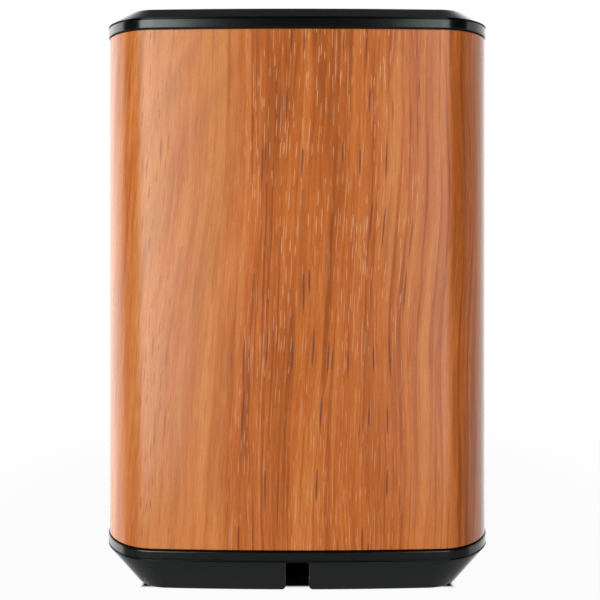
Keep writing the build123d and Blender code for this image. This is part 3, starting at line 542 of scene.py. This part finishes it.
def make_wood():
    """The veneer sleeve: a closed sheet with eased rims, which carries its own grain coordinates."""
    low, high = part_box("wood_wrap")
    inset = HALF - high.y
    right = half_round(inset)
    stations = [(s, a, c, 1) for s, a, c in right[:0:-1]] + [(s, a, c, -1) for s, a, c in right]

    def ring(depth):
        points = []
        for side, angle, corner, hand in stations:
            spot = plan_point(side, angle, inset + depth, corner)
            points.append(Vector((-hand * spot.x, spot.y)))
        return points

    outer, eased, inner = ring(0.0), ring(VENEER_EASE), ring(VENEER_THICK)
    middle = len(right) - 1
    lengths = [0.0]
    for a, b in zip(outer, outer[1:]):
        lengths.append(lengths[-1] + (b - a).length)
    lengths = [(s - lengths[middle]) / MM for s in lengths]
    # the section of the sheet, from the inner bottom edge round the outside to the inner top edge
    section = [(inner, low.z), (eased, low.z), (outer, low.z + VENEER_EASE)]
    section += [(outer, low.z + (high.z - low.z) * i / VENEER_ROWS) for i in range(1, VENEER_ROWS)]
    section += [(outer, high.z - VENEER_EASE), (eased, high.z), (inner, high.z)]
    build = bmesh.new()
    layer = build.verts.layers.float_vector.new("grain")
    grid = []
    for points, z in section:
        line = []
        for spot, s in zip(points, lengths):
            vertex = build.verts.new((spot.x, spot.y, z))
            vertex[layer] = (s, z / MM, 0.0)
            line.append(vertex)
        grid.append(line)
    for lower, upper in zip(grid, grid[1:] + grid[:1]):
        for i in range(len(stations) - 1):
            build.faces.new((lower[i], lower[i + 1], upper[i + 1], upper[i]))
    for end in (0, len(stations) - 1):
        build.faces.new([line[end] for line in grid])
    bmesh.ops.recalc_face_normals(build, faces=build.faces)
    mesh = bpy.data.meshes.new("wood_veneer")
    build.to_mesh(mesh)
    build.free()
    mesh.shade_smooth()
    mesh.set_sharp_from_angle(angle=SHARP_ANGLE)
    mesh.materials.append(wood_material())
    make_object("wood_veneer", mesh, "housing", "wood_wrap")


# ---------------------------------------------------------------- surfaces of the other pieces

BLACK = (0.0015, 0.0015, 0.0017)
PANEL_BLACK = (0.0045, 0.0045, 0.005)


def own_place(tree):
    """The surface's own coordinates, in millimetres."""
    place = node(tree, "TexCoord").outputs["Object"]
    return stretch(tree, place, (1 / MM,) * 3)


def waves(tree, place, pitch, direction="X", distortion=0.0):
    """Parallel waves with a pitch in millimetres."""
    # one wave of the texture is pi / 10 long at scale 1
    inputs = {"Vector": place, "Scale": math.pi / 10 / pitch, "Distortion": distortion}
    return node(tree, "TexWave", inputs, bands_direction=direction).outputs["Fac"]


def tinted(tree, shader, value, colour, vary):
    """Colours the surface by a value from 0 to 1, darker and lighter than its colour."""
    stops = [(0.25, [c * (1 - vary) for c in colour]), (0.75, [c * (1 + vary) for c in colour])]
    made = ramp(tree, value, stops)
    tree.links.new(made, shader.inputs["Base Color"])
    return made


def uneven(tree, shader, value, roughness, swing):
    """Roughness that swings about its mean with a value from 0 to 1."""
    tree.links.new(scaled(tree, value, 2 * swing, roughness - swing), shader.inputs["Roughness"])


def moulded(name, colour, roughness=0.35, grain=0.25, depth=0.004, vary=0.12, ior=1.46):
    """Moulded plastic: a fine spark-eroded texture, and faint clouds where it has been handled."""
    material, tree, shader = new_material(name, roughness=roughness, ior=ior)
    place = own_place(tree)
    cloud = noise(tree, place, detail=3.0, scale=0.06)
    speck = noise(tree, place, detail=2.0, roughness=0.7, scale=1 / grain)
    tinted(tree, shader, sums(tree, "ADD", scaled(tree, cloud, 0.5), scaled(tree, speck, 0.5)), colour, vary)
    uneven(tree, shader, cloud, roughness, 0.04)
    bump(tree, shader, speck, depth * MM)
    return material


def satin_black(name, colour):
    """The cap and base: satin black plastic with a very fine grain and a little settled dust."""
    material, tree, shader = new_material(name, roughness=0.17, ior=1.46)
    shader.inputs["Specular Tint"].default_value = (0.92, 1.0, 0.98, 1.0)
    place = own_place(tree)
    speck = noise(tree, place, detail=2.0, roughness=0.6, scale=4.5)
    cloud = noise(tree, place, detail=3.0, scale=0.09)
    dust = fade(tree, noise(tree, place, detail=2.0, scale=2.2), 0.66, 0.80)
    base = tinted(tree, shader, speck, colour, 0.35)
    dusty = mix(tree, scaled(tree, dust, 0.25), base, (0.03, 0.03, 0.032))
    tree.links.new(dusty, shader.inputs["Base Color"])
    uneven(tree, shader, sums(tree, "ADD", scaled(tree, cloud, 0.6), scaled(tree, speck, 0.4)), 0.17, 0.03)
    bump(tree, shader, speck, 0.0016 * MM)
    return material


def finger_button(name, colour):
    """The top button: turned rings round its middle, and a worn, smoother centre."""
    material, tree, shader = new_material(name, roughness=0.32, ior=1.46)
    place = own_place(tree)
    x, y, _ = parts(tree, place)
    flat = join(tree, x, y)
    radius = node(tree, "VectorMath", {0: flat}, operation="LENGTH").outputs["Value"]
    rings = waves(tree, join(tree, radius), 0.22)
    speck = noise(tree, place, detail=2.0, scale=4.0)
    tinted(tree, shader, speck, colour, 0.2)
    worn = fade(tree, radius, 6.5, 2.0)
    tree.links.new(scaled(tree, worn, -0.10, 0.36), shader.inputs["Roughness"])
    height = sums(tree, "ADD", rings, scaled(tree, speck, 0.3))
    bump(tree, shader, height, 0.006 * MM)
    return material


def smoked_glass(name, colour):
    """The display window: polished and nearly black, with faint wipe marks."""
    material, tree, shader = new_material(name, roughness=0.05, ior=1.36)
    place = own_place(tree)
    wipe = noise(tree, stretch(tree, place, (0.05, 0.05, 0.25)), detail=4.0, roughness=0.7)
    tinted(tree, shader, wipe, colour, 0.3)
    tree.links.new(scaled(tree, fade(tree, wipe, 0.45, 0.75), 0.09, 0.045), shader.inputs["Roughness"])
    bump(tree, shader, noise(tree, place, detail=1.0, scale=0.05), 0.004 * MM)
    return material


def glowing(name, colour, light, strength, half=None):
    """A milky piece lit from inside, dimmer towards its ends."""
    material, tree, shader = new_material(name, roughness=0.3, ior=1.49)
    place = own_place(tree)
    cloud = noise(tree, place, detail=2.0, scale=0.4)
    tinted(tree, shader, cloud, colour, 0.08)
    lit = scaled(tree, cloud, 0.3, 0.85)
    if half:
        x, _, _ = parts(tree, place)
        lit = sums(tree, "MULTIPLY", lit, scaled(tree, band_at(tree, x, 0.0, half), 0.75, 0.25))
    shader.inputs["Emission Color"].default_value = (*light, 1.0)
    tree.links.new(scaled(tree, lit, strength), shader.inputs["Emission Strength"])
    bump(tree, shader, noise(tree, place, scale=2.0), 0.004 * MM)
    return material


def woven(name, colour, pitch=0.45):
    """A fine plain weave: threads along X and Z that pass over and under."""
    material, tree, shader = new_material(name, roughness=0.85)
    place = own_place(tree)
    over, cross = (scaled(tree, waves(tree, place, 2 * pitch, axis), 2.0, -1.0) for axis in "XZ")
    choose = fade(tree, sums(tree, "MULTIPLY", over, cross), -0.2, 0.2)
    warp = sums(tree, "MULTIPLY", waves(tree, place, pitch, "X"), choose)
    weft = sums(tree, "MULTIPLY", waves(tree, place, pitch, "Z"), scaled(tree, choose, -1.0, 1.0))
    height = sums(tree, "ADD", warp, weft)
    tinted(tree, shader, height, colour, 0.8)
    shader.inputs["Sheen Weight"].default_value = 0.3
    bump(tree, shader, height, 0.08 * MM)
    return material


def rubbery(name, colour, roughness=0.75):
    """Rubber or wire jacket: matte, with a faint bloom and fine mould lines."""
    material, tree, shader = new_material(name, roughness=roughness, ior=1.5)
    place = own_place(tree)
    bloom = noise(tree, place, detail=4.0, roughness=0.65, scale=0.5)
    speck = noise(tree, place, detail=2.0, scale=5.0)
    tinted(tree, shader, bloom, colour, 0.3)
    uneven(tree, shader, speck, roughness, 0.08)
    bump(tree, shader, sums(tree, "ADD", speck, scaled(tree, waves(tree, place, 0.8, "Z"), 0.3)), 0.01 * MM)
    return material


def foamed(name, colour):
    """Open-cell foam: dark pores between thin walls."""
    material, tree, shader = new_material(name, roughness=0.95)
    place = own_place(tree)
    cells = node(tree, "TexVoronoi", {"Vector": place, "Scale": 2.2}, feature="F1").outputs["Distance"]
    wall = fade(tree, cells, 0.15, 0.6)
    tinted(tree, shader, wall, colour, 0.7)
    bump(tree, shader, wall, 0.2 * MM)
    return material


def metal(name, colour, roughness=0.3, pattern="brushed"):
    """Plated or turned metal: brushed lines, a knurl, or the close turns of a winding."""
    material, tree, shader = new_material(name, roughness=roughness, metallic=1.0)
    place = own_place(tree)
    if pattern == "knurl":
        x, y, z = parts(tree, place)
        sideways = sums(tree, "ADD", x, y)
        ways = (sideways, scaled(tree, sideways, -1.0))
        crossed = (waves(tree, join(tree, way, 0.0, z), 0.5, "DIAGONAL") for way in ways)
        marks = sums(tree, "MULTIPLY", *crossed)
        depth = 0.08
    elif pattern == "winding":
        marks = waves(tree, place, 0.25, "Y", distortion=0.4)
        depth = 0.06
    else:
        marks = noise(tree, stretch(tree, place, (0.6, 9.0, 9.0)), detail=3.0, roughness=0.7)
        depth = 0.006
    stain = noise(tree, place, detail=3.0, scale=0.35)
    tinted(tree, shader, sums(tree, "ADD", scaled(tree, marks, 0.6), scaled(tree, stain, 0.4)), colour, 0.2)
    uneven(tree, shader, stain, roughness, 0.1)
    bump(tree, shader, marks, depth * MM)
    return material


def circuit(name, colour):
    """A circuit board: solder mask over fine traces, with tinned pads and vias."""
    material, tree, shader = new_material(name, roughness=0.3, ior=1.5, coat=0.4, coat_roughness=0.15)
    place = own_place(tree)
    x, y, z = parts(tree, place)
    # the boards lie level or upright, and this serves both
    flat = join(tree, x, sums(tree, "ADD", y, z))
    inputs = {"Vector": flat, "Scale": 0.16}
    blocks = node(tree, "TexVoronoi", inputs, distance="CHEBYCHEV", voronoi_dimensions="2D")
    luck = node(tree, "SeparateColor", {"Color": blocks.outputs["Color"]})
    turn = fade(tree, luck.outputs["Red"], 0.45, 0.55)
    along = sums(tree, "MULTIPLY", waves(tree, flat, 0.7, "X"), turn)
    across = sums(tree, "MULTIPLY", waves(tree, flat, 0.7, "Y"), scaled(tree, turn, -1.0, 1.0))
    traces = fade(tree, sums(tree, "ADD", along, across), 0.45, 0.6)
    inputs = {"Vector": flat, "Scale": 0.45, "Randomness": 0.8}
    vias = node(tree, "TexVoronoi", inputs, voronoi_dimensions="2D")
    pads = fade(tree, vias.outputs["Distance"], 0.17, 0.13)
    masked = mix(tree, traces, [c * 0.6 for c in colour], [c * 1.6 + 0.01 for c in colour])
    tree.links.new(mix(tree, pads, masked, (0.55, 0.53, 0.48)), shader.inputs["Base Color"])
    tree.links.new(scaled(tree, pads, 0.9), shader.inputs["Metallic"])
    bump(tree, shader, sums(tree, "MAXIMUM", traces, pads), 0.035 * MM)
    return material


def striped(name, colour, pitch=0.5, lines=(0.75, 0.42, 0.12)):
    """A flat flexible circuit: film over parallel copper lines."""
    material, tree, shader = new_material(name, roughness=0.25, ior=1.6, coat=0.5)
    place = own_place(tree)
    copper = fade(tree, waves(tree, place, pitch, "X"), 0.35, 0.6)
    tree.links.new(mix(tree, copper, colour, lines), shader.inputs["Base Color"])
    bump(tree, shader, copper, 0.03 * MM)
    return material


def wrapped(name, colour):
    """Shrink film round a cell: glossy, with small tight wrinkles near its ends."""
    material, tree, shader = new_material(name, roughness=0.18, ior=1.5, coat=0.3)
    place = own_place(tree)
    wrinkle = noise(tree, stretch(tree, place, (1.2, 1.2, 0.25)), detail=3.0)
    cloud = noise(tree, place, detail=2.0, scale=0.1)
    tinted(tree, shader, cloud, colour, 0.15)
    bump(tree, shader, wrinkle, 0.03 * MM)
    return material


def pixelled(name, colour):
    """The display panel: glass over a fine grid of cells."""
    material, tree, shader = new_material(name, roughness=0.08, ior=1.52, coat=0.5)
    place = own_place(tree)
    grid = sums(tree, "MULTIPLY", waves(tree, place, 0.2, "X"), waves(tree, place, 0.2, "Z"))
    tinted(tree, shader, grid, colour, 0.6)
    bump(tree, shader, grid, 0.002 * MM)
    return material


GREEN_LIGHT = (0.18, 0.85, 0.42)
WHITE_LIGHT = (0.80, 0.95, 1.0)

# What each slot is made with. A slot that isn't listed is moulded plastic in its own colour.
MAKERS = {
    "black_plastic": lambda name, colour: satin_black(name, BLACK),
    "panel_plastic": lambda name, colour: moulded(name, PANEL_BLACK, 0.38, grain=0.3, depth=0.006, ior=1.36),
    "button_plastic": finger_button,
    "smoked_window": smoked_glass,
    "light_pipe": lambda name, colour: glowing(name, colour, GREEN_LIGHT, 0.9, half=14.0),
    "filter_cloth": woven,
    "rubber": rubbery,
    "foam": foamed,
    "screw_steel": lambda name, colour: metal(name, colour, 0.35),
    "insert_brass": lambda name, colour: metal(name, colour, 0.3, "knurl"),
    "spring_steel": lambda name, colour: metal(name, colour, 0.22),
    "circuit_board": circuit,
    "module_board": circuit,
    "chip_epoxy": lambda name, colour: moulded(name, colour, 0.5, grain=0.15, depth=0.003),
    "sensor_metal": lambda name, colour: metal(name, colour, 0.28),
    "led_resin": lambda name, colour: glowing(name, colour, GREEN_LIGHT, 0.6),
    "display_glass": pixelled,
    "ribbon_film": striped,
    "copper_winding": lambda name, colour: metal(name, colour, 0.3, "winding"),
    "cell_wrap": wrapped,
    "lead_red": rubbery,
    "lead_white": rubbery,
}


def dress():
    """Gives each CAD node its material, by its slot in the record."""
    slots = {row["node"]: row["material_slot"] for row in frame["record"]["subparts"]}
    colours = {row["slot"]: row["base_color"][:3] for row in frame["record"]["materials"]}
    made = {}
    for name, thing in NODES.items():
        slot = slots[name]
        if slot not in made:
            made[slot] = MAKERS.get(slot, moulded)(slot, colours[slot])
        thing.data.materials.clear()
        thing.data.materials.append(made[slot])


# ---------------------------------------------------------------- what the display shows

WINDOW_LOW, WINDOW_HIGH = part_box("display_window")
DIAL_Z = (WINDOW_LOW.z + WINDOW_HIGH.z) / 2
FILM = (0.006 * MM, 0.03 * MM)
READING_HIGH = 10.5 * MM
SMALL_HIGH = 4.4 * MM
SMALL_AT = (8.5 * MM, DIAL_Z - 20 * MM)
RULE_HALF = 5.5 * MM
RULE_Z = DIAL_Z - 24.6 * MM
RULE_WIDE = 0.5 * MM
READING_Z = DIAL_Z + 3 * MM
DIAL_MIDDLE = Vector((0, DIAL_Z + 2 * MM))
# The dial's first tick and how far its ticks turn, in degrees
DIAL_START = 220
DIAL_TURN = 260
TICKS = 41
TICKS_LIT = 17
TICK_FROM = 17.6 * MM
TICK_TO = 20.4 * MM
TICK_WIDE = 0.8 * MM
# The lit strokes of each figure, a to g: top, upper and lower right, bottom, lower and upper left, middle
STROKES = {
    "0": "abcdef", "1": "bc", "2": "abged", "3": "abgcd", "4": "fgbc",
    "5": "afgcd", "6": "afgedc", "7": "abc", "8": "abcdefg", "9": "abcdfg",
}


def window_y(x):
    """The window's outer face, which bows with the column."""
    return BOW_SET - math.sqrt((BOW_SET - WINDOW_LOW.y) ** 2 - x * x)


def film(build, outline):
    """A thin printed shape on the window, from its outline as (x, z) points."""
    back = [build.verts.new((x, window_y(x) - FILM[0], z)) for x, z in outline]
    front = [build.verts.new((x, window_y(x) - FILM[1], z)) for x, z in outline]
    build.faces.new(front)
    build.faces.new(back[::-1])
    for i in range(len(outline)):
        j = (i + 1) % len(outline)
        build.faces.new((back[i], back[j], front[j], front[i]))


def stroke(build, start, end, wide):
    """One bar with pointed ends."""
    a, b = Vector(start), Vector(end)
    along = (b - a).normalized()
    side = Vector((-along.y, along.x)) * wide / 2
    tip = along * wide / 2
    film(build, [tuple(p) for p in (a, a + tip + side, b - tip + side, b, b - tip - side, a + tip - side)])


def figure(build, value, x, z, high):
    """One figure of seven strokes, from its middle and height."""
    wide, half, thick = high * 0.26, high / 2, high * 0.13
    gap = thick * 0.12
    left, right = x - wide, x + wide
    ends = {
        "a": ((left, z + half), (right, z + half)),
        "b": ((right, z), (right, z + half)),
        "c": ((right, z - half), (right, z)),
        "d": ((left, z - half), (right, z - half)),
        "e": ((left, z - half), (left, z)),
        "f": ((left, z), (left, z + half)),
        "g": ((left, z), (right, z)),
    }
    for name in STROKES[value]:
        start, end = (Vector(p) for p in ends[name])
        inward = (end - start).normalized() * gap
        stroke(build, start + inward, end - inward, thick)


def number(build, text, x, z, high):
    """A row of figures about x."""
    pitch = high * 0.76
    for place, value in enumerate(text):
        figure(build, value, x + (place - (len(text) - 1) / 2) * pitch, z, high)


def display_piece(name, build, material):
    """A lit part of the display."""
    bmesh.ops.recalc_face_normals(build, faces=build.faces)
    mesh = bpy.data.meshes.new(name)
    build.to_mesh(mesh)
    build.free()
    mesh.materials.append(material)
    make_object(name, mesh, "housing")


def make_display():
    """A dial of ticks round a reading, and two smaller readings under it."""
    white = glowing("display_white", (0.5, 0.55, 0.6), WHITE_LIGHT, 0.95)
    green = glowing("display_green", (0.1, 0.5, 0.25), GREEN_LIGHT, 0.9)
    dim = glowing("display_dim", (0.03, 0.035, 0.04), WHITE_LIGHT, 0.035)
    figures = bmesh.new()
    small_x, small_z = SMALL_AT
    number(figures, "612", 0.0, READING_Z, READING_HIGH)
    number(figures, "21", -small_x, small_z, SMALL_HIGH)
    number(figures, "48", small_x, small_z, SMALL_HIGH)
    display_piece("display_figures", figures, white)
    lit, rest = bmesh.new(), bmesh.new()
    for tick in range(TICKS):
        angle = math.radians(DIAL_START - DIAL_TURN * tick / (TICKS - 1))
        ray = Vector((math.cos(angle), math.sin(angle)))
        part = lit if tick < TICKS_LIT else rest
        stroke(part, DIAL_MIDDLE + ray * TICK_FROM, DIAL_MIDDLE + ray * TICK_TO, TICK_WIDE)
    display_piece("display_dial_lit", lit, green)
    for x in (-small_x, small_x):
        stroke(rest, (x - RULE_HALF, RULE_Z), (x + RULE_HALF, RULE_Z), RULE_WIDE)
    display_piece("display_dial_rest", rest, dim)


make_world()
make_camera()
make_floor()
make_floor_under()
softbox("key_left", azimuths=(14.5, 43.0), level=7.4)
softbox("key_right", azimuths=(-14.7, -32.0), level=4.4)
bpy.context.scene.view_settings.view_transform = "Standard"
dress()
make_wood()
make_display()
